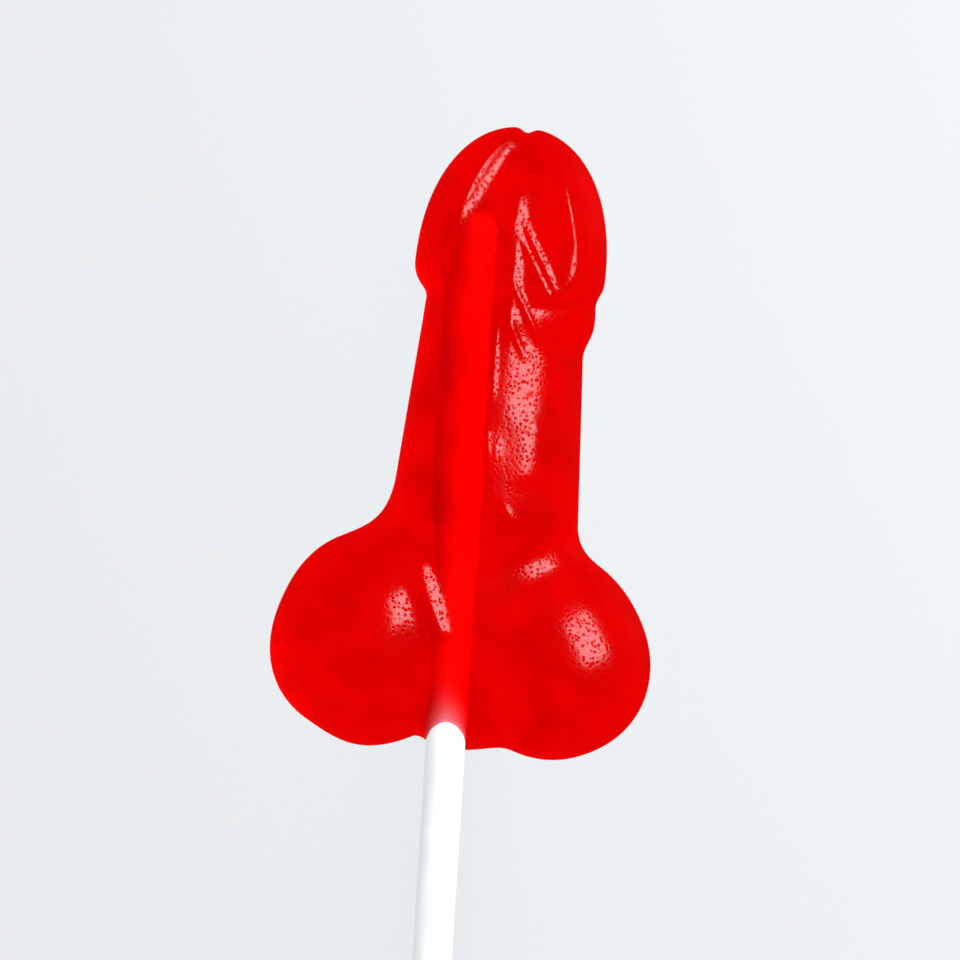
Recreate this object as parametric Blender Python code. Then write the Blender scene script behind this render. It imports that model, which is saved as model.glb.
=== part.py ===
"""A penis lollipop: a boiled-sugar casting with a flat back, on a rolled-paper stick.

The lollipop lies on its flat back, stick along Y and tip towards +Y, with the moulded front up. The
candy's front is one smooth form, described in millimetres: X across from the stick's axis, Y along
the stick from its mouth to the tip, Z up from the back. The form is a blend of rounded lobes with
shallow relief on top, and the mesh is a grid whose rows of points are pushed out from a spine inside
the candy until they meet it.
"""

from collections import namedtuple

import bmesh
import bpy
import numpy as np

MM = 0.001

# The stick is a standard 4 mm paper one, 4 1/2 inches long. It runs on inside the candy, half way up.
STICK_DIAMETER = 4.0
STICK_LENGTH = 114.3
STICK_END = 52.0
STICK_HEIGHT = 6.0
STICK_SIDES = 32
SOCKET_GAP = 0.3
SOCKET_RUNS_OUT = 12.0
SHARP_ANGLE = 50.0

# The object stands on the middle of its box, so the form is shifted by this much.
FORM_SHIFT = (-0.95, 0.6)

# The candy is widest a little above its back, and its back edge is rounded under.
WIDEST_LEVEL = 2.2
BACK_ROUND = 5.0

# A lobe is an oval in plan with a domed crown: its middle, half its width, its lengths above and
# below the middle, the height of its crown, how square its plan is, its lean in degrees, how fast it
# narrows upwards, how far to the left its crown line lies, and how flat its left side is (2 is round).
LOBE_PARTS = "x y half_width above below crown square lean taper skew flat"
Lobe = namedtuple("Lobe", LOBE_PARTS, defaults=(2.1, 0.0, 0.0, 0.0, 2.0))
SHAFT = Lobe(2.6, 25.8, 9.2, 30.0, 24.0, 12.1, square=6.0, lean=-2.1, taper=0.07, skew=1.2, flat=2.5)
LEFT_BALL = Lobe(-9.0, 9.6, 8.85, 10.6, 10.3, 11.6, square=2.25, lean=-20.0, skew=-0.8)
RIGHT_BALL = Lobe(10.3, 8.3, 9.5, 11.3, 10.1, 11.4, lean=26.0)
GLANS = Lobe(3.5, 46.7, 9.6, 14.5, 5.0, 12.8, square=2.15, lean=-3.0)
NECK_FOLD = Lobe(4.0, 42.6, 8.35, 4.5, 5.5, 10.4, square=2.4)
WEB = Lobe(1.4, 9.0, 6.0, 9.0, 6.6, 9.3, square=2.4)
COLLAR = Lobe(2.1, 1.6, 5.0, 6.0, 3.05, 7.93, square=2.4, skew=2.0, flat=3.5)

# The lobes that melt into the shaft one after another, each with how far it melts at the rim and at
# the crown, and how far the collar at the stick's mouth does.
BLENDED = (
    (LEFT_BALL, 5.0, 2.0),
    (RIGHT_BALL, 2.4, 2.4),
    (NECK_FOLD, 0.9, 0.9),
    (WEB, 0.6, 3.0),
    (GLANS, 0.9, 0.9),
)
COLLAR_BLEND = 1.2

# The collar slopes down to the mouth, where the stick comes out: the place along and the level that
# the slope starts from, how steep it is, and how far its upper edge is rounded.
MOUTH_FOOT = (-0.9, 6.0)
MOUTH_SLOPE = 0.87
MOUTH_EDGE = 0.3

# The shaft is highest at this place. Above it the shaft falls gently towards the neck, and its foot
# falls as a soft step between the balls.
SHAFT_TOP = 24.0
NECK_FALL = 0.1
NECK_FALL_START = 4.0
FOOT_FALL = 2.4
FOOT_FALLS_AT = 19.5
FOOT_FALL_LENGTH = 3.0

# The corona's edge opens from its apex at the tip like a V, faster below the flare. Between its two
# sides the glans has a floor, and outside them the floor rises as a wall until it leaves the glans.
CORONA_APEX = 61.0
CORONA_HALF_OPENING = 0.3
CORONA_OPENS = 0.52
CORONA_FLARES_AFTER = 10.0
CORONA_FLARE = 0.05
CORONA_WALL = 0.9
CORONA_SOFTNESS = 0.4
CORONA_EDGE = 0.5
MIDDLE_AT_HEAD = 3.4
MIDDLE_LEANS = 0.09

# The floor leans down towards the tip, falls faster near it, and rises to the shaft at the neck.
FLOOR_LEVEL = 10.4
FLOOR_LEAN = 0.06
FLOOR_RISES_BELOW = 44.0
FLOOR_RISES = 0.05
FLOOR_FALLS_ABOVE = 49.0
FLOOR_FALLS = 0.028

# The frenulum is a narrow ridge along the stick, from inside the V to the upper shaft: its place
# across, its height and half width, and where its foot and head are.
FRENULUM_PLACE = 3.75
FRENULUM_HEIGHT = 0.48
FRENULUM_WIDTH = 0.8
FRENULUM_FOOT = 40.0
FRENULUM_HEAD = 54.5

# Fine folds run down from the middle line on each side, lower on the left: where each leaves it, and
# how far out it goes.
FOLDS = ((52.7, 4.8), (51.2, 4.8), (46.5, 4.8), (43.0, 2.8))
FOLDS_START = 1.3
FOLD_SLOPE = 1.55
FOLD_LEFT_SHARE = 0.3
FOLD_HEIGHT = 0.4
FOLD_WIDTH = 0.55

# Single folds: the middle, the lean in degrees, the length, height and half width. The first lies in
# the crease right of the left ball, and the others are soft swellings of the shaft.
Fold = namedtuple("Fold", "x y lean length height width")
SINGLE_FOLDS = (
    Fold(-2.5, 13.6, lean=20.0, length=8.5, height=0.6, width=1.1),
    Fold(2.3, 28.5, lean=2.0, length=3.0, height=0.08, width=1.2),
    Fold(7.0, 28.8, lean=0.0, length=6.5, height=0.35, width=1.8),
)

# The slit at the tip.
SLIT_FROM = 58.0
SLIT_DEPTH = 0.35
SLIT_WIDTH = 0.7

# How softly a ridge, fold or slit ends.
RELIEF_END = 0.7

# The mesh: rows round the outline, crowded towards the head on the sides, and rings from the rim to
# the crown. Each point is found by marching out from the spine, then by halving the last step.
SPINE_FOOT = (1.0, 8.0)
SPINE_HEAD = (4.0, 50.0)
FAN_ROWS_FOOT = 42
FAN_ROWS_HEAD = 26
SIDE_ROWS = 50
SIDE_CROWDING = 1.5
RINGS = 28
WELD = 0.01
REACH = 26.0
MARCH_STEPS = 130
BISECT_STEPS = 18

CANDY_RED = (0.78, 0.004, 0.006, 1.0)
PAPER_WHITE = (0.93, 0.95, 0.94, 1.0)


def smooth_min(a, b, blend):
    """The lower of two fields, rounded over where they are within the blend of each other."""
    share = np.clip(0.5 + 0.5 * (b - a) / blend, 0.0, 1.0)
    return b + (a - b) * share - blend * share * (1.0 - share)


def smooth_step(value):
    """0 far below zero, 1 far above it, with a soft rise over about one unit to each side."""
    return 0.5 + 0.5 * np.tanh(value)


def lobe_field(x, y, z, lobe, crown=None):
    """How far outside a lobe the points lie, below 0 inside it."""
    lean = np.radians(lobe.lean)
    across = (x - lobe.x) * np.cos(lean) + (y - lobe.y) * np.sin(lean)
    along = (y - lobe.y) * np.cos(lean) - (x - lobe.x) * np.sin(lean)
    length = np.where(along > 0, lobe.above, lobe.below)
    width = lobe.half_width - lobe.taper * along
    top = lobe.crown if crown is None else crown
    above = (z - WIDEST_LEVEL) / (top - WIDEST_LEVEL)
    rise = np.where(z > WIDEST_LEVEL, above, (WIDEST_LEVEL - z) / BACK_ROUND)
    flank = np.abs(across / width) ** lobe.square
    end = np.abs(along / length) ** lobe.square
    plan = (flank + end) ** (1.0 / lobe.square)
    beside = np.abs(across + lobe.skew) / (width + lobe.skew * np.sign(across + lobe.skew))
    power = np.where(across + lobe.skew > 0.0, 2.0, lobe.flat)
    section = (beside ** power + rise ** power) ** (1.0 / power)
    domed = (section ** lobe.square + end) ** (1.0 / lobe.square)
    return (np.maximum(plan, domed) - 1.0) * lobe.half_width


def middle_line(y):
    """The place across the stick of the line through the slit and the frenulum."""
    return MIDDLE_AT_HEAD + MIDDLE_LEANS * (y - SPINE_HEAD[1])


def corona_floor(x, y):
    """The level of the floor between the corona's sides, with the wall that rises outside them."""
    down = CORONA_APEX - y
    flare = CORONA_FLARE * np.maximum(down - CORONA_FLARES_AFTER, 0.0) ** 2
    opening = CORONA_HALF_OPENING + CORONA_OPENS * np.maximum(down, 0.0) + flare
    outside = (np.abs(x - middle_line(y)) - opening) / CORONA_SOFTNESS
    wall = CORONA_WALL * CORONA_SOFTNESS * np.logaddexp(0.0, outside)
    rise = FLOOR_RISES * np.maximum(FLOOR_RISES_BELOW - y, 0.0) ** 2
    fall = FLOOR_FALLS * np.maximum(y - FLOOR_FALLS_ABOVE, 0.0) ** 2
    fall += FLOOR_LEAN * (y - FLOOR_RISES_BELOW)
    return FLOOR_LEVEL + rise - fall + wall


def relief(x, y):
    """How high the fine forms of the front stand above the lobes."""
    beside = np.abs(x - middle_line(y))
    foot_end = smooth_step((y - FRENULUM_FOOT) / (2.0 * RELIEF_END))
    along = foot_end * smooth_step((FRENULUM_HEAD - y) / RELIEF_END)
    height = FRENULUM_HEIGHT * along * np.exp(-((x - FRENULUM_PLACE) / FRENULUM_WIDTH) ** 2)

    share = np.where(x > middle_line(y), 1.0, FOLD_LEFT_SHARE)
    steepness = np.hypot(FOLD_SLOPE, 1.0)
    for place, length in FOLDS:
        off_line = (place - y - FOLD_SLOPE * beside) / steepness
        reach = smooth_step((beside - FOLDS_START) / RELIEF_END)
        reach = reach * smooth_step((length - beside) / RELIEF_END)
        height += FOLD_HEIGHT * share * reach * np.exp(-(off_line / FOLD_WIDTH) ** 2)
    for fold in SINGLE_FOLDS:
        lean = np.radians(fold.lean)
        off_line = (x - fold.x) * np.cos(lean) + (y - fold.y) * np.sin(lean)
        along = (y - fold.y) * np.cos(lean) - (x - fold.x) * np.sin(lean)
        ends = smooth_step((0.5 * fold.length - np.abs(along)) / RELIEF_END)
        height += fold.height * ends * np.exp(-(off_line / fold.width) ** 2)
    return height


def slit(x, y):
    """1 along the slit at the tip, 0 away from it."""
    return np.exp(-((x - middle_line(y)) / SLIT_WIDTH) ** 2) * smooth_step((y - SLIT_FROM) / RELIEF_END)


def candy_field(x, y, z):
    """The candy's surface is where this is 0; it is below 0 inside."""
    height = np.clip((z - WIDEST_LEVEL) / (SHAFT.crown - WIDEST_LEVEL), 0.0, 1.0)
    fall = NECK_FALL * (np.hypot(np.maximum(y - SHAFT_TOP, 0.0), NECK_FALL_START) - NECK_FALL_START)
    fall += FOOT_FALL * smooth_step((FOOT_FALLS_AT - y) / FOOT_FALL_LENGTH)
    field = lobe_field(x, y, z, SHAFT, SHAFT.crown - fall)
    for lobe, rim_blend, crown_blend in BLENDED:
        blend = rim_blend + (crown_blend - rim_blend) * height
        field = smooth_min(field, lobe_field(x, y, z, lobe), blend)
    field = -smooth_min(-field, corona_floor(x, y) - z, CORONA_EDGE)
    field = smooth_min(field, lobe_field(x, y, z, COLLAR), COLLAR_BLEND)
    mouth = MOUTH_FOOT[1] + MOUTH_SLOPE * (y - MOUTH_FOOT[0])
    field = -smooth_min(-field, mouth - z, MOUTH_EDGE)
    return field - relief(x, y) * height + SLIT_DEPTH * slit(x, y)


def spine_rows():
    """For each row of the mesh, the spine point that it starts from and its heading in radians.

    The rows run round the outline: a fan about the tip, down the left side, a fan about the foot,
    and up the right side to the first row again.
    """
    foot = np.array(SPINE_FOOT)
    head = np.array(SPINE_HEAD)
    side = np.linspace(0.0, 1.0, SIDE_ROWS + 1)[:, None] ** SIDE_CROWDING
    head_turn = np.linspace(0.0, np.pi, FAN_ROWS_HEAD + 1)
    foot_turn = np.linspace(np.pi, 2.0 * np.pi, FAN_ROWS_FOOT + 1)
    starts = np.concatenate([
        np.repeat(head[None], FAN_ROWS_HEAD, axis=0),
        (head + (foot - head) * side)[:-1],
        np.repeat(foot[None], FAN_ROWS_FOOT, axis=0),
        (head + (foot - head) * side)[::-1],
    ])
    headings = np.concatenate([
        head_turn[:-1],
        np.full(SIDE_ROWS, np.pi),
        foot_turn[:-1],
        np.full(SIDE_ROWS + 1, 2.0 * np.pi),
    ])
    return starts, headings


def candy_points():
    """The candy's surface as an array of points: rows round the outline, each with its rings from the
    middle of the flat back out to the rim and up over the front to the crown.
    """
    starts, headings = spine_rows()
    rise = 0.5 * np.pi * np.linspace(0.0, 1.0, RINGS + 1)
    across = np.cos(headings)[:, None] * np.cos(rise)[None]
    along = np.sin(headings)[:, None] * np.cos(rise)[None]
    up = np.broadcast_to(np.sin(rise), across.shape)

    def field_at(distance):
        x = starts[:, :1] + across * distance
        y = starts[:, 1:] + along * distance
        return candy_field(x, y, up * distance)

    inner = np.zeros(across.shape)
    inside = np.ones(across.shape, bool)
    for distance in np.linspace(0.0, REACH, MARCH_STEPS + 1):
        inside &= field_at(np.full(across.shape, distance)) < 0.0
        inner = np.where(inside, distance, inner)
    outer = inner + REACH / MARCH_STEPS
    for _ in range(BISECT_STEPS):
        middle = 0.5 * (inner + outer)
        within = field_at(middle) < 0.0
        inner = np.where(within, middle, inner)
        outer = np.where(within, outer, middle)
    x = starts[:, :1] + across * inner
    y = starts[:, 1:] + along * inner
    back = np.concatenate([starts, np.zeros((len(starts), 1))], axis=1)
    return np.concatenate([back[:, None], np.stack([x, y, up * inner], axis=-1)], axis=1)


def principled(name, colour, roughness, transmission=0.0):
    """A Principled material; a transmission of 1 makes it clear and tinted."""
    material = bpy.data.materials.new(name)
    material.use_nodes = True
    shader = material.node_tree.nodes["Principled BSDF"]
    shader.inputs["Base Color"].default_value = colour
    shader.inputs["Roughness"].default_value = roughness
    shader.inputs["Metallic"].default_value = 0.0
    shader.inputs["Transmission Weight"].default_value = transmission
    return material


def add_object(name, bm, collection, parent, material=None):
    """Turns the bmesh into a smooth-shaded object in the collection, under the parent."""
    mesh = bpy.data.meshes.new(name)
    bm.to_mesh(mesh)
    bm.free()
    if material:
        mesh.materials.append(material)
    mesh.shade_smooth()
    obj = bpy.data.objects.new(name, mesh)
    obj.parent = parent
    collection.objects.link(obj)
    return obj


def make_candy(collection, parent):
    """A grid is wrapped round the spine and welded where its edges meet: at the seam, crown and back."""
    points = candy_points() * MM
    rows, rings = points.shape[:2]
    bm = bmesh.new()
    bmesh.ops.create_grid(bm, x_segments=rings - 1, y_segments=rows - 1, size=1.0)
    bm.verts.ensure_lookup_table()
    for vert, place in zip(bm.verts, points.reshape(-1, 3)):
        vert.co = place
    bmesh.ops.remove_doubles(bm, verts=bm.verts, dist=WELD * MM)
    bmesh.ops.recalc_face_normals(bm, faces=bm.faces)
    candy = add_object("candy", bm, collection, parent, principled("red_candy", CANDY_RED, 0.12, 1.0))
    candy.data.set_sharp_from_angle(angle=np.radians(SHARP_ANGLE))
    return candy


def stick_cylinder(name, radius, start, end, collection, parent, material=None):
    """A round bar along Y, from one place on the stick's axis to another."""
    bm = bmesh.new()
    size = {"radius1": radius * MM, "radius2": radius * MM, "depth": (end - start) * MM}
    bmesh.ops.create_cone(bm, cap_ends=True, segments=STICK_SIDES, **size)
    bar = add_object(name, bm, collection, parent, material)
    bar.rotation_euler = (np.radians(-90.0), 0.0, 0.0)
    bar.location = (0.0, 0.5 * (start + end) * MM, STICK_HEIGHT * MM)
    bar.data.set_sharp_from_angle(angle=np.radians(SHARP_ANGLE))
    return bar


def cut(target, cutter):
    """Takes the cutter's shape out of the target, and keeps the cutter out of the render."""
    modifier = target.modifiers.new("Socket", "BOOLEAN")
    modifier.operation = "DIFFERENCE"
    modifier.solver = "EXACT"
    modifier.object = cutter
    cutter.hide_render = True
    cutter.display_type = "WIRE"


def main():
    for obj in list(bpy.data.objects):
        bpy.data.objects.remove(obj, do_unlink=True)
    parts = bpy.data.collections.new("penis_lollipop")
    cutters = bpy.data.collections.new("cutters")
    for collection in (parts, cutters):
        bpy.context.scene.collection.children.link(collection)
    root = bpy.data.objects.new("lollipop_root", None)
    root.location = (FORM_SHIFT[0] * MM, FORM_SHIFT[1] * MM, 0.0)
    parts.objects.link(root)

    radius = 0.5 * STICK_DIAMETER
    candy = make_candy(parts, root)
    paper = principled("white_paper", PAPER_WHITE, 0.7)
    stick_cylinder("stick", radius, STICK_END - STICK_LENGTH, STICK_END, parts, root, paper)
    socket_end = STICK_END + SOCKET_GAP
    socket = stick_cylinder("socket", radius + SOCKET_GAP, -SOCKET_RUNS_OUT, socket_end, cutters, root)
    cut(candy, socket)


main()
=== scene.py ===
"""A penis lollipop of clear red boiled sugar on a rolled-paper stick, lying on a pale table."""

from collections import namedtuple

import bmesh
import bpy
import numpy as np
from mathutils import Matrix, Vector


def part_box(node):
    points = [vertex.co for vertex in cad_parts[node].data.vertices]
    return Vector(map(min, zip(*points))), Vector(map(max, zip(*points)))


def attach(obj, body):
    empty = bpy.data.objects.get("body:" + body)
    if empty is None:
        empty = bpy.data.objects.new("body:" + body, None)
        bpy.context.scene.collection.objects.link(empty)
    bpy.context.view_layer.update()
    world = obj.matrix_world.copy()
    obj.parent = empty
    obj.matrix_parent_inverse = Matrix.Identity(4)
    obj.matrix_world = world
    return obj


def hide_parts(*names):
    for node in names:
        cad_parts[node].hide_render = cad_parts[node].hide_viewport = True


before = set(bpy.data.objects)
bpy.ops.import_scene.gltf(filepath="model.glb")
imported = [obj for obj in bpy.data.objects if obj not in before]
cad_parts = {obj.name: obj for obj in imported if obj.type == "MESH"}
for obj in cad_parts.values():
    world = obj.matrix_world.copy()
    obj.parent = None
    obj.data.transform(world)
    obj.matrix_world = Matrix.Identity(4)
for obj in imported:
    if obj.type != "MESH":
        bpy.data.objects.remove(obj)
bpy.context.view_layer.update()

# The stick. A lollipop stick is a strip of bleached paper that is damped, rolled up tight on itself
# and pressed into a solid rod. The strip's last edge shows as a fine lap down one side, and the
# square-cut ends show the roll. It is made first, and the candy is cast round its upper half.
MM = 0.001

# The paper is 0.07 mm thick, so that is the step at its lap, which runs down the side at this angle in
# degrees. On the ends the roll's turns are drawn further apart than that, so that they show.
PAPER_LAP = 0.07
LAP_SIDE = 215.0
ROLL_PITCH = 0.25
ROLL_DEPTH = 0.05
ROLL_FLATNESS = 24

# How far the edge is rounded at the dry end, and at the end that the hot sugar has soaked.
STICK_EDGE = 0.2
SOAKED_EDGE = 1.6

# The mesh: columns round the stick, and rings on the dry end, each edge, the side and the soaked end.
STICK_COLUMNS = 180
FACE_RINGS = 48
EDGE_RINGS = 12
SIDE_RINGS = 118
SOAKED_RINGS = 8

# Real fibres are some 0.03 mm thick: they are drawn ten times as coarse, so that they show.
PAPER_WHITE = "F3F8FA"
PAPER_SHADE = "EAF0F2"
PAPER_SHADE_BELOW = 0.3
PAPER_WHITE_ABOVE = 0.55
PAPER_ROUGHNESS = 0.62
PAPER_FIBRE = 0.3
PAPER_CLOUD = 1.6
FIBRE_STRETCH = (1.0, 0.4, 1.0)
FIBRE_STRENGTH = 0.5
FIBRE_DEPTH = 0.03


def to_linear(colour):
    """An sRGB hex colour as linear red, green, blue and alpha."""
    coded = np.array([int(colour[k:k + 2], 16) for k in (0, 2, 4)]) / 255.0
    linear = np.where(coded <= 0.04045, coded / 12.92, ((coded + 0.055) / 1.055) ** 2.4)
    return (*linear.tolist(), 1.0)


def looped_surface(name, points):
    """A closed piece from an array of points in millimetres: rows that close into a loop, by rings.

    Each four neighbours make a face, and the doubled points at the poles and seams are merged.
    """
    rows, rings = points.shape[:2]
    here = np.arange(rows * rings).reshape(rows, rings)
    after = np.roll(here, -1, axis=0)
    faces = np.stack([here[:, :-1], after[:, :-1], after[:, 1:], here[:, 1:]], axis=-1)
    mesh = bpy.data.meshes.new(name)
    mesh.from_pydata((points.reshape(-1, 3) * MM).tolist(), [], faces.reshape(-1, 4).tolist())
    welded = bmesh.new()
    welded.from_mesh(mesh)
    bmesh.ops.remove_doubles(welded, verts=welded.verts, dist=0.001 * MM)
    welded.to_mesh(mesh)
    welded.free()
    mesh.shade_smooth()
    piece = bpy.data.objects.new(name, mesh)
    bpy.context.scene.collection.objects.link(piece)
    return piece


def add_node(tree, kind, settings=(), links=()):
    """Adds a node. A setting or link whose name starts with a dot is an input's, any other a property."""
    node = tree.nodes.new(kind)
    for key, value in dict(settings).items():
        if key.startswith("."):
            node.inputs[key[1:]].default_value = value
        else:
            setattr(node, key, value)
    for key, output in dict(links).items():
        tree.links.new(output, node.inputs[key[1:]])
    return node


def rolled_stick(low, high):
    """The stick's surface between the corners of its box, as columns round it by rings along it.

    The profile runs from the middle of one end over its rounded edge, along the side, and round the
    far end, which the hot sugar has softened. The radius falls by the paper's lap once round, and
    springs back at the lap. The ends are sunk by a saw along a spiral, one turn of the roll to a pitch.
    """
    radius = 0.5 * (high.z - low.z) / MM
    middle = 0.5 * (low + high) / MM
    start, end = low.y / MM, high.y / MM
    turn = np.linspace(0.0, 1.0, STICK_COLUMNS, endpoint=False)[:, None]
    edge = np.linspace(0.0, 0.5 * np.pi, EDGE_RINGS + 1)[1:]
    face = np.linspace(0.0, radius - STICK_EDGE, FACE_RINGS + 1)
    corner = radius - STICK_EDGE * (1.0 - np.sin(edge))
    side = np.linspace(start + STICK_EDGE, end - SOAKED_EDGE, SIDE_RINGS + 2)[1:-1]
    soaked_corner = radius - SOAKED_EDGE * (1.0 - np.cos(edge))
    soaked_face = np.linspace(radius - SOAKED_EDGE, 0.0, SOAKED_RINGS + 1)[1:]
    reach = np.concatenate([face, corner, np.full(side.shape, radius), soaked_corner, soaked_face])
    first_edge = start + STICK_EDGE * (1.0 - np.cos(edge))
    last_edge = end - SOAKED_EDGE * (1.0 - np.sin(edge))
    last_end = np.full(soaked_face.shape, end)
    place = np.concatenate([np.full(face.shape, start), first_edge, side, last_edge, last_end])
    roll = (reach[None] / ROLL_PITCH - turn) % 1.0
    on_end = np.clip(1.0 - (reach / (radius - STICK_EDGE)) ** ROLL_FLATNESS, 0.0, 1.0)
    sunk = ROLL_DEPTH * roll * on_end
    around = 2.0 * np.pi * turn + np.radians(LAP_SIDE)
    reach = reach * (1.0 - PAPER_LAP / radius * turn)
    along = place + np.where(place < middle.y, sunk, -sunk)
    return np.stack([middle.x + reach * np.cos(around), along, middle.z - reach * np.sin(around)], axis=-1)


def rolled_paper():
    """Bleached rolled paper: matt, a little cloudy, with fibres that lie along the roll."""
    material = bpy.data.materials.new("bleached_rolled_paper")
    material.use_nodes = True
    tree = material.node_tree
    place = add_node(tree, "ShaderNodeTexCoord").outputs["Object"]
    stretch = add_node(tree, "ShaderNodeMapping", {".Scale": FIBRE_STRETCH}, {".Vector": place})
    fibre = add_node(tree, "ShaderNodeTexNoise", {".Scale": 1.0 / (PAPER_FIBRE * MM), ".Detail": 3.0},
                     {".Vector": stretch.outputs["Vector"]})
    cloud = add_node(tree, "ShaderNodeTexNoise", {".Scale": 1.0 / (PAPER_CLOUD * MM), ".Detail": 4.0},
                     {".Vector": stretch.outputs["Vector"]})
    shade = add_node(tree, "ShaderNodeValToRGB", {}, {".Fac": cloud.outputs["Fac"]})
    shade.color_ramp.elements[0].color = to_linear(PAPER_SHADE)
    shade.color_ramp.elements[0].position = PAPER_SHADE_BELOW
    shade.color_ramp.elements[1].color = to_linear(PAPER_WHITE)
    shade.color_ramp.elements[1].position = PAPER_WHITE_ABOVE
    bump = add_node(tree, "ShaderNodeBump", {".Strength": FIBRE_STRENGTH, ".Distance": FIBRE_DEPTH * MM},
                    {".Height": fibre.outputs["Fac"]})
    shader = tree.nodes["Principled BSDF"]
    shader.inputs["Roughness"].default_value = PAPER_ROUGHNESS
    tree.links.new(shade.outputs["Color"], shader.inputs["Base Color"])
    tree.links.new(bump.outputs["Normal"], shader.inputs["Normal"])
    return material


stick = looped_surface("rolled_stick", rolled_stick(*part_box("stick")))
stick.data.materials.append(rolled_paper())
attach(stick, "root")
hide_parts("stick")

# The candy. Sugar and glucose syrup boiled to the hard crack, coloured red, and poured over the stick
# in an open silicone mould: glassy and clear, with the mould's fine pitting on its front and a flat
# back. It has set straight on to the stick, so the piece is solid and the stick runs in it.

# The form is in millimetres: X across, Y from the mouth to the tip, Z up from the back. It is shifted
# to where the object stands, and set in a little, because the solid's facets cut its hollows.
STICK_FROM_FORM = (-0.95, 0.6)
CANDY_INSET = 0.045

# The candy is widest a little above its back, and its back edge is rounded under.
WIDEST_LEVEL = 2.2
BACK_ROUND = 5.0

# A lobe is an oval in plan with a domed crown: its middle, half its width, its lengths above and
# below the middle, the height of its crown, how square its plan is, its lean in degrees, how fast it
# narrows upwards, how far to the left its crown line lies, and how flat its left side is (2 is round).
LOBE_PARTS = "x y half_width above below crown square lean taper skew flat"
Lobe = namedtuple("Lobe", LOBE_PARTS, defaults=(2.1, 0.0, 0.0, 0.0, 2.0))
SHAFT = Lobe(2.6, 25.8, 9.2, 30.0, 24.0, 12.1, square=6.0, lean=-2.1, taper=0.07, skew=1.2, flat=2.5)
LEFT_BALL = Lobe(-9.0, 9.6, 8.85, 10.6, 10.3, 11.6, square=2.25, lean=-20.0, skew=-0.8)
RIGHT_BALL = Lobe(10.3, 8.3, 9.5, 11.3, 10.1, 11.4, lean=26.0)
GLANS = Lobe(3.5, 46.7, 9.6, 14.5, 5.0, 12.8, square=2.15, lean=-3.0)
NECK_FOLD = Lobe(4.0, 42.6, 8.35, 4.5, 5.5, 10.4, square=2.4)
WEB = Lobe(1.4, 9.0, 6.0, 9.0, 6.6, 9.3, square=2.4)
COLLAR = Lobe(2.1, 1.6, 5.0, 6.0, 3.05, 7.93, square=2.4, skew=2.0, flat=3.5)

# The lobes that melt into the shaft one after another, each with how far it melts at the rim and at
# the crown, and how far the collar at the stick's mouth does.
BLENDED = (
    (LEFT_BALL, 5.0, 2.0),
    (RIGHT_BALL, 2.4, 2.4),
    (NECK_FOLD, 0.9, 0.9),
    (WEB, 0.6, 3.0),
    (GLANS, 0.9, 0.9),
)
COLLAR_BLEND = 1.2

# The collar slopes down to the mouth, where the stick comes out: the place along and the level that
# the slope starts from, how steep it is, and how far its upper edge is rounded.
MOUTH_FOOT = (-0.9, 6.0)
MOUTH_SLOPE = 0.87
MOUTH_EDGE = 0.3

# The shaft is highest at this place. Above it the shaft falls gently towards the neck, and its foot
# falls as a soft step between the balls.
SHAFT_TOP = 24.0
NECK_FALL = 0.1
NECK_FALL_START = 4.0
FOOT_FALL = 2.4
FOOT_FALLS_AT = 19.5
FOOT_FALL_LENGTH = 3.0

# The corona's edge opens from its apex at the tip like a V, faster below the flare. Between its two
# sides the glans has a floor, and outside them the floor rises as a wall until it leaves the glans.
CORONA_APEX = 61.0
CORONA_HALF_OPENING = 0.3
CORONA_OPENS = 0.52
CORONA_FLARES_AFTER = 10.0
CORONA_FLARE = 0.05
CORONA_WALL = 0.9
CORONA_SOFTNESS = 0.4
CORONA_EDGE = 0.5
MIDDLE_AT_HEAD = 3.4
MIDDLE_LEANS = 0.09

# The floor leans down towards the tip, falls faster near it, and rises to the shaft at the neck.
FLOOR_LEVEL = 10.4
FLOOR_LEAN = 0.06
FLOOR_RISES_BELOW = 44.0
FLOOR_RISES = 0.05
FLOOR_FALLS_ABOVE = 49.0
FLOOR_FALLS = 0.028

# The frenulum is a narrow ridge along the stick, from inside the V to the upper shaft: its place
# across, its height and half width, and where its foot and head are.
FRENULUM_PLACE = 3.75
FRENULUM_HEIGHT = 0.48
FRENULUM_WIDTH = 0.8
FRENULUM_FOOT = 40.0
FRENULUM_HEAD = 54.5

# Fine folds run down from the middle line on each side, lower on the left: where each leaves it, and
# how far out it goes.
FOLDS = ((52.7, 4.8), (51.2, 4.8), (46.5, 4.8), (43.0, 2.8))
FOLDS_START = 1.3
FOLD_SLOPE = 1.55
FOLD_LEFT_SHARE = 0.3
FOLD_HEIGHT = 0.34
FOLD_WIDTH = 0.36

# Single folds: the middle, the lean in degrees, the length, height and half width. The first lies in
# the crease right of the left ball, and the next two swell the shaft. Then come three fine lines, at
# the shaft's foot and left of the frenulum, and two small drops half way up the shaft.
Fold = namedtuple("Fold", "x y lean length height width")
SINGLE_FOLDS = (
    Fold(-2.5, 13.6, lean=20.0, length=8.5, height=0.6, width=1.1),
    Fold(2.3, 28.5, lean=2.0, length=3.0, height=0.08, width=1.2),
    Fold(7.0, 28.8, lean=0.0, length=6.5, height=0.35, width=1.8),
    Fold(5.5, 21.6, lean=35.0, length=2.8, height=0.25, width=0.4),
    Fold(2.5, 39.4, lean=0.0, length=11.0, height=0.15, width=0.28),
    Fold(3.1, 48.2, lean=-10.0, length=7.0, height=0.15, width=0.28),
    Fold(2.35, 29.2, lean=4.0, length=2.4, height=0.1, width=0.28),
    Fold(3.15, 28.9, lean=0.0, length=1.8, height=0.07, width=0.42),
)

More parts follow.
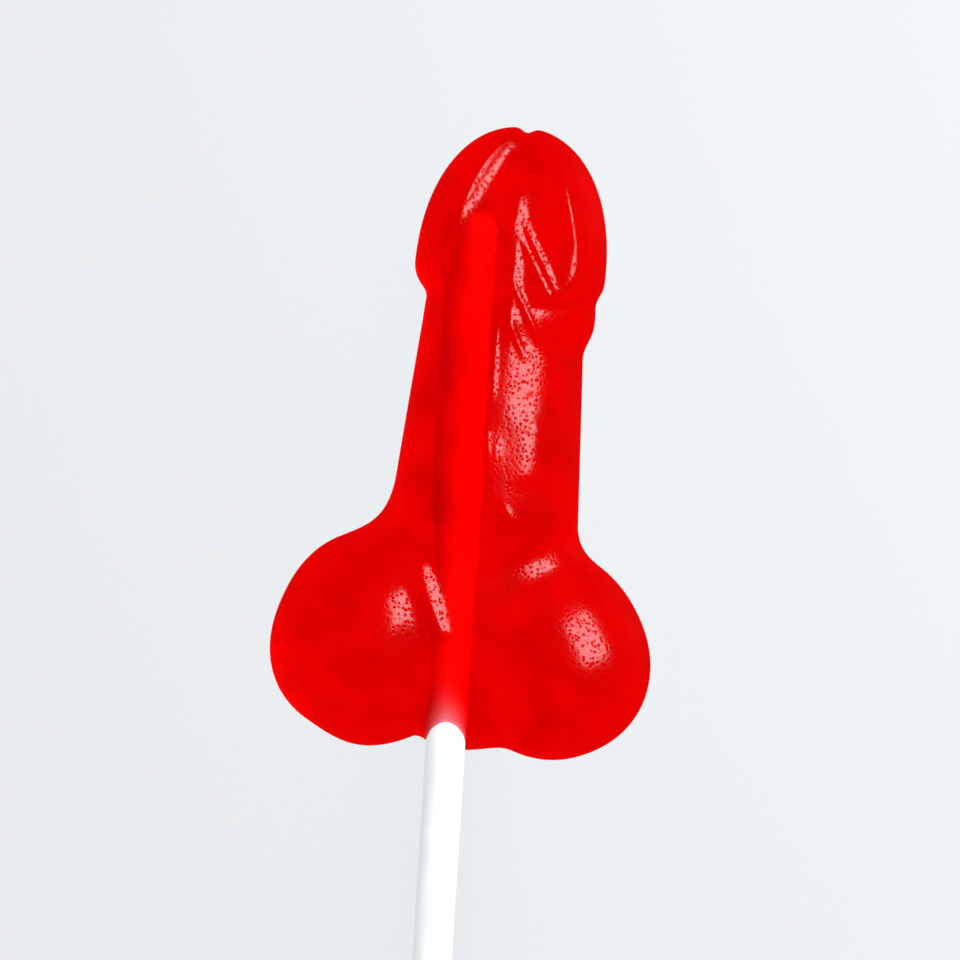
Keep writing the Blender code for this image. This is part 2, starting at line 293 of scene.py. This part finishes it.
# The slit at the tip, and how softly it and each ridge or fold ends.
SLIT_FROM = 58.0
SLIT_DEPTH = 0.35
SLIT_WIDTH = 0.7
RELIEF_END = 0.7

# The mesh: rows round the outline, crowded towards the head on the sides, and rings over the front and
# the back, which sinks in the middle as it cools. Each point is found by marching out from the spine.
BACK_DISH = 0.25
SPINE_FOOT = (1.0, 8.0)
SPINE_HEAD = (4.0, 50.0)
FAN_ROWS_FOOT = 170
FAN_ROWS_HEAD = 130
SIDE_ROWS = 225
SIDE_CROWDING = 1.5
RINGS = 110
BACK_RINGS = 14
REACH = 26.0
MARCH_STEPS = 130
BISECT_STEPS = 18

# The sugar's colours, and the size in millimetres of the clouds that stirring leaves in it.
SUGAR_RED = "FF4A5A"
SUGAR_CLOUD = "E6434F"
CLOUD_SIZE = 6.0
CLOUD_BELOW = 0.36
CLEAR_ABOVE = 0.54
SUGAR_DEPTH = "FF1A14"
SUGAR_DENSITY = 2900.0
SUGAR_GLOSS = 0.17
SUGAR_IOR = 1.5

# The pits' spacing, the share of it that is a pit's floor and where its wall ends, how deep they are,
# and how much they mirror. The skin between them has a finer grain.
PIT_SPACING = 0.42
PIT_FLOOR = 0.22
PIT_REACH = 0.58
PIT_DEPTH = 0.008
PIT_SHINE = 0.0
SKIN_GRAIN = 0.22
SKIN_DEPTH = 0.004


def smooth_min(a, b, blend):
    """The lower of two fields, with the place where they cross rounded over by the blend length."""
    share = np.clip(0.5 + 0.5 * (b - a) / blend, 0.0, 1.0)
    return b + (a - b) * share - blend * share * (1.0 - share)


def smooth_step(value):
    """0 well below zero and 1 well above it, as half of one plus a hyperbolic tangent."""
    return 0.5 + 0.5 * np.tanh(value)


def lobe_field(x, y, z, lobe, crown=None):
    """Negative inside the lobe and rising outwards, in millimetres near its surface.

    In plan the lobe is a superellipse. A section across it is half an ellipse up to the crown, which
    takes the place of the width as the lobe rises, and a rounded edge below the widest level.
    """
    lean = np.radians(lobe.lean)
    across = (x - lobe.x) * np.cos(lean) + (y - lobe.y) * np.sin(lean)
    along = (y - lobe.y) * np.cos(lean) - (x - lobe.x) * np.sin(lean)
    length = np.where(along > 0, lobe.above, lobe.below)
    width = lobe.half_width - lobe.taper * along
    top = lobe.crown if crown is None else crown
    above = (z - WIDEST_LEVEL) / (top - WIDEST_LEVEL)
    rise = np.where(z > WIDEST_LEVEL, above, (WIDEST_LEVEL - z) / BACK_ROUND)
    end = np.abs(along / length) ** lobe.square
    plan = (np.abs(across / width) ** lobe.square + end) ** (1.0 / lobe.square)
    beside = np.abs(across + lobe.skew) / (width + lobe.skew * np.sign(across + lobe.skew))
    power = np.where(across + lobe.skew > 0.0, 2.0, lobe.flat)
    section = (beside ** power + rise ** power) ** (1.0 / power)
    domed = (section ** lobe.square + end) ** (1.0 / lobe.square)
    return (np.maximum(plan, domed) - 1.0) * lobe.half_width


def middle_line(y):
    """Where the middle of the glans and of the folds lies across, at this place along."""
    return MIDDLE_AT_HEAD + MIDDLE_LEANS * (y - SPINE_HEAD[1])


def corona_floor(x, y):
    """The level of the floor inside the V of the corona's edge: a slope that falls towards the tip.

    Outside the V it rises as a wall, by the soft positive part of the distance beyond the edge.
    """
    down = CORONA_APEX - y
    flare = CORONA_FLARE * np.maximum(down - CORONA_FLARES_AFTER, 0.0) ** 2
    opening = CORONA_HALF_OPENING + CORONA_OPENS * np.maximum(down, 0.0) + flare
    outside = (np.abs(x - middle_line(y)) - opening) / CORONA_SOFTNESS
    wall = CORONA_WALL * CORONA_SOFTNESS * np.logaddexp(0.0, outside)
    rise = FLOOR_RISES * np.maximum(FLOOR_RISES_BELOW - y, 0.0) ** 2
    fall = FLOOR_FALLS * np.maximum(y - FLOOR_FALLS_ABOVE, 0.0) ** 2
    fall += FLOOR_LEAN * (y - FLOOR_RISES_BELOW)
    return FLOOR_LEVEL + rise - fall + wall


def relief(x, y):
    """The height of the frenulum, of the fine folds that run down from it, and of the single folds."""
    beside = np.abs(x - middle_line(y))
    foot_end = smooth_step((y - FRENULUM_FOOT) / (2.0 * RELIEF_END))
    along = foot_end * smooth_step((FRENULUM_HEAD - y) / RELIEF_END)
    height = FRENULUM_HEIGHT * along * np.exp(-((x - FRENULUM_PLACE) / FRENULUM_WIDTH) ** 2)
    share = np.where(x > middle_line(y), 1.0, FOLD_LEFT_SHARE)
    steepness = np.hypot(FOLD_SLOPE, 1.0)
    for place, length in FOLDS:
        off_line = (place - y - FOLD_SLOPE * beside) / steepness
        reach = smooth_step((beside - FOLDS_START) / RELIEF_END)
        reach = reach * smooth_step((length - beside) / RELIEF_END)
        height += FOLD_HEIGHT * share * reach * np.exp(-(off_line / FOLD_WIDTH) ** 2)
    for fold in SINGLE_FOLDS:
        lean = np.radians(fold.lean)
        off_line = (x - fold.x) * np.cos(lean) + (y - fold.y) * np.sin(lean)
        along = (y - fold.y) * np.cos(lean) - (x - fold.x) * np.sin(lean)
        ends = smooth_step((0.5 * fold.length - np.abs(along)) / RELIEF_END)
        height += fold.height * ends * np.exp(-(off_line / fold.width) ** 2)
    return height


def slit(x, y):
    """1 down the slit at the tip, falling to 0 beside it and below it."""
    return np.exp(-((x - middle_line(y)) / SLIT_WIDTH) ** 2) * smooth_step((y - SLIT_FROM) / RELIEF_END)


def candy_field(x, y, z):
    """The whole candy: negative inside and rising outwards, lobe by lobe, with the relief on top."""
    height = np.clip((z - WIDEST_LEVEL) / (SHAFT.crown - WIDEST_LEVEL), 0.0, 1.0)
    fall = NECK_FALL * (np.hypot(np.maximum(y - SHAFT_TOP, 0.0), NECK_FALL_START) - NECK_FALL_START)
    fall += FOOT_FALL * smooth_step((FOOT_FALLS_AT - y) / FOOT_FALL_LENGTH)
    field = lobe_field(x, y, z, SHAFT, SHAFT.crown - fall)
    for lobe, rim_blend, crown_blend in BLENDED:
        blend = rim_blend + (crown_blend - rim_blend) * height
        field = smooth_min(field, lobe_field(x, y, z, lobe), blend)
    field = -smooth_min(-field, corona_floor(x, y) - z, CORONA_EDGE)
    field = smooth_min(field, lobe_field(x, y, z, COLLAR), COLLAR_BLEND)
    mouth = MOUTH_FOOT[1] + MOUTH_SLOPE * (y - MOUTH_FOOT[0])
    field = -smooth_min(-field, mouth - z, MOUTH_EDGE)
    return field - relief(x, y) * height + SLIT_DEPTH * slit(x, y) + CANDY_INSET


def spine_rows():
    """For each row of the mesh, the spine point that it starts from and its heading in radians.

    The rows run round the outline: a fan about the tip, down the left side, a fan about the foot,
    and up the right side to just before the first row again.
    """
    foot = np.array(SPINE_FOOT)
    head = np.array(SPINE_HEAD)
    side = np.linspace(0.0, 1.0, SIDE_ROWS + 1)[:, None] ** SIDE_CROWDING
    starts = np.concatenate([
        np.repeat(head[None], FAN_ROWS_HEAD, axis=0),
        (head + (foot - head) * side)[:-1],
        np.repeat(foot[None], FAN_ROWS_FOOT, axis=0),
        (head + (foot - head) * side)[:0:-1],
    ])
    headings = np.concatenate([
        np.linspace(0.0, np.pi, FAN_ROWS_HEAD, endpoint=False),
        np.full(SIDE_ROWS, np.pi),
        np.linspace(np.pi, 2.0 * np.pi, FAN_ROWS_FOOT, endpoint=False),
        np.full(SIDE_ROWS, 2.0 * np.pi),
    ])
    return starts, headings


def cast_candy():
    """The candy's surface, as rows round the outline by rings from the middle of the back to the crown.

    Each row's rays leave its spine point on the back and turn up from level to upright. A point is
    where its ray leaves the form: found by marching out, and then by halving the last step. Inside
    the rim the back's rings run straight in to the spine, and rise as a shallow dish.
    """
    starts, headings = spine_rows()
    rise = 0.5 * np.pi * np.linspace(0.0, 1.0, RINGS)
    across = np.cos(headings)[:, None] * np.cos(rise)[None]
    along = np.sin(headings)[:, None] * np.cos(rise)[None]
    up = np.broadcast_to(np.sin(rise), across.shape)

    def field_at(distance):
        x = starts[:, :1] + across * distance
        y = starts[:, 1:] + along * distance
        return candy_field(x, y, up * distance)

    inner = np.zeros(across.shape)
    inside = np.ones(across.shape, bool)
    for distance in np.linspace(0.0, REACH, MARCH_STEPS + 1):
        inside &= field_at(np.full(across.shape, distance)) < 0.0
        inner = np.where(inside, distance, inner)
    outer = inner + REACH / MARCH_STEPS
    for _ in range(BISECT_STEPS):
        middle = 0.5 * (inner + outer)
        within = field_at(middle) < 0.0
        inner = np.where(within, middle, inner)
        outer = np.where(within, outer, middle)
    front = np.stack([starts[:, :1] + across * inner, starts[:, 1:] + along * inner, up * inner], axis=-1)
    share = np.linspace(0.0, 1.0, BACK_RINGS, endpoint=False)[None, :, None]
    spine = np.concatenate([starts, np.zeros((len(starts), 1))], axis=1)[:, None]
    back = spine + (front[:, :1] - spine) * share
    back[..., 2] = BACK_DISH * (1.0 - share[..., 0] ** 2) ** 2
    return np.concatenate([back, front], axis=1) + np.array([*STICK_FROM_FORM, 0.0])


def boiled_sugar():
    """Clear red boiled sugar: a tinted glass, a little cloudy, that gives broad soft highlights.

    The mould has left fine pits in its skin. They mirror nothing, so the highlights are full of dark dots.
    """
    material = bpy.data.materials.new("red_boiled_sugar")
    material.use_nodes = True
    tree = material.node_tree
    place = add_node(tree, "ShaderNodeTexCoord").outputs["Object"]
    cells = add_node(tree, "ShaderNodeTexVoronoi", {".Scale": 1.0 / (PIT_SPACING * MM)}, {".Vector": place})
    pit = add_node(tree, "ShaderNodeMapRange",
                   {"interpolation_type": "SMOOTHSTEP", ".From Min": PIT_FLOOR, ".From Max": PIT_REACH},
                   {".Value": cells.outputs["Distance"]})
    shine = add_node(tree, "ShaderNodeMapRange", {".To Min": PIT_SHINE}, {".Value": pit.outputs["Result"]})
    grain = add_node(tree, "ShaderNodeTexNoise", {".Scale": 1.0 / (SKIN_GRAIN * MM), ".Detail": 1.0},
                     {".Vector": place})
    fine = add_node(tree, "ShaderNodeBump", {".Strength": 1.0, ".Distance": SKIN_DEPTH * MM},
                    {".Height": grain.outputs["Fac"]})
    pitted = add_node(tree, "ShaderNodeBump", {".Strength": 1.0, ".Distance": PIT_DEPTH * MM},
                      {".Height": pit.outputs["Result"], ".Normal": fine.outputs["Normal"]})
    cloud = add_node(tree, "ShaderNodeTexNoise", {".Scale": 1.0 / (CLOUD_SIZE * MM), ".Detail": 2.0},
                     {".Vector": place})
    red = add_node(tree, "ShaderNodeValToRGB", {}, {".Fac": cloud.outputs["Fac"]})
    red.color_ramp.elements[0].color = to_linear(SUGAR_CLOUD)
    red.color_ramp.elements[0].position = CLOUD_BELOW
    red.color_ramp.elements[1].color = to_linear(SUGAR_RED)
    red.color_ramp.elements[1].position = CLEAR_ABOVE
    shader = tree.nodes["Principled BSDF"]
    tree.links.new(red.outputs["Color"], shader.inputs["Base Color"])
    shader.inputs["Roughness"].default_value = SUGAR_GLOSS
    shader.inputs["IOR"].default_value = SUGAR_IOR
    shader.inputs["Transmission Weight"].default_value = 1.0
    tree.links.new(shine.outputs["Result"], shader.inputs["Specular Tint"])
    tree.links.new(pitted.outputs["Normal"], shader.inputs["Normal"])
    depth = add_node(tree, "ShaderNodeVolumeAbsorption",
                     {".Color": to_linear(SUGAR_DEPTH), ".Density": SUGAR_DENSITY})
    tree.links.new(depth.outputs["Volume"], tree.nodes["Material Output"].inputs["Volume"])
    return material


candy = looped_surface("cast_candy", cast_candy())
candy.data.materials.append(boiled_sugar())
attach(candy, "root")
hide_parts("candy")

# The light on the table is so even that neither piece throws a shadow or a tint on it, and the stick
# doesn't show in the candy's gloss.
candy.visible_shadow = False
candy.visible_diffuse = False
stick.visible_shadow = False
stick.visible_glossy = False

# The table. A sheet of pale coated board, matt and even. Under it lies a painted reflection: a red
# sheet that glows, seen only in gloss, for the red light a candy throws, which its steep sides mirror.
TABLE_HALF = 1.5
TABLE_DROP = 0.02
BOARD_PALE = "D2D4D6"
BOARD_ROUGHNESS = 0.9
BOARD_SPECULAR = 0.1
# The glow colour of the painted red reflection under the board.
PAINTED_REFLECTION_RED = "E70D0D"


def flat_sheet(name, drop):
    """A level square sheet, the drop in millimetres below the candy's back."""
    corners = TABLE_HALF * np.array([(-1.0, -1.0), (1.0, -1.0), (1.0, 1.0), (-1.0, 1.0)])
    mesh = bpy.data.meshes.new(name)
    mesh.from_pydata([(x, y, -drop * MM) for x, y in corners.tolist()], [], [(0, 1, 2, 3)])
    sheet = bpy.data.objects.new(name, mesh)
    bpy.context.scene.collection.objects.link(sheet)
    return sheet


def coated_board():
    """White coated board: matt, with hardly any shine."""
    material = bpy.data.materials.new("pale_coated_board")
    material.use_nodes = True
    shader = material.node_tree.nodes["Principled BSDF"]
    shader.inputs["Base Color"].default_value = to_linear(BOARD_PALE)
    shader.inputs["Roughness"].default_value = BOARD_ROUGHNESS
    shader.inputs["Specular IOR Level"].default_value = BOARD_SPECULAR
    return material


def painted_red_reflection():
    """The painted reflection: a red glow for the light that comes through the candy on to the board."""
    material = bpy.data.materials.new("painted_red_reflection_glow")
    material.use_nodes = True
    shader = material.node_tree.nodes["Principled BSDF"]
    shader.inputs["Base Color"].default_value = to_linear("000000")
    shader.inputs["Emission Color"].default_value = to_linear(PAINTED_REFLECTION_RED)
    shader.inputs["Emission Strength"].default_value = 1.0
    return material


table = flat_sheet("table", TABLE_DROP)
table.data.materials.append(coated_board())
table.visible_glossy = False
# A painted reflection: this glowing red sheet is seen only in the candy's gloss.
painted_reflection_sheet = flat_sheet("painted_reflection_sheet", 2.0 * TABLE_DROP)
painted_reflection_sheet.data.materials.append(painted_red_reflection())
painted_reflection_sheet.visible_camera = False
painted_reflection_sheet.visible_diffuse = False
painted_reflection_sheet.visible_transmission = False
painted_reflection_sheet.visible_shadow = False

# The light. One soft box from the upper right gives the highlights. Pale air all round lights the rest
# evenly, and doesn't show in the candy's gloss.
KEY_TOWARDS = (0.64, 0.34, 0.69)
KEY_DISTANCE = 0.7
KEY_SIZE = 0.44
KEY_POWER = 3.6
AIR_PALE = "F0F0F0"
LIT_PLACE = (0.0, 0.03, 0.006)


def soft_box(name, towards, distance, size, power):
    """A square area light that looks back at the candy from this direction and distance."""
    lamp = bpy.data.lights.new(name, "AREA")
    lamp.size = size
    lamp.energy = power
    light = bpy.data.objects.new(name, lamp)
    away = Vector(towards).normalized()
    light.location = Vector(LIT_PLACE) + distance * away
    light.rotation_euler = away.to_track_quat("Z", "Y").to_euler()
    bpy.context.scene.collection.objects.link(light)
    return light


soft_box("key", KEY_TOWARDS, KEY_DISTANCE, KEY_SIZE, KEY_POWER)
world = bpy.data.worlds.new("studio_air")
world.use_nodes = True
world.node_tree.nodes["Background"].inputs["Color"].default_value = to_linear(AIR_PALE)
world.cycles_visibility.glossy = False
bpy.context.scene.world = world
bpy.context.scene.view_settings.view_transform = "Standard"

# The camera. A long lens straight above, turned so that the stick leans as it does in the picture.
# The field is what it takes in across, in millimetres, at the level of the candy's widest outline.
FIELD = 96.0
FIELD_LEVEL = WIDEST_LEVEL
LENS = 200.0
SENSOR = 36.0
VIEW_MIDDLE = (1.80, 25.66)
VIEW_ROLL = 3.58

lens = bpy.data.cameras.new("camera")
lens.lens = LENS
lens.sensor_width = SENSOR
lens.clip_end = 10.0
camera = bpy.data.objects.new("camera", lens)
camera.location = Vector((VIEW_MIDDLE[0] + STICK_FROM_FORM[0], VIEW_MIDDLE[1] + STICK_FROM_FORM[1],
                          FIELD_LEVEL + FIELD * LENS / SENSOR)) * MM
camera.rotation_euler = (0.0, 0.0, np.radians(VIEW_ROLL))
bpy.context.scene.collection.objects.link(camera)
bpy.context.scene.camera = camera
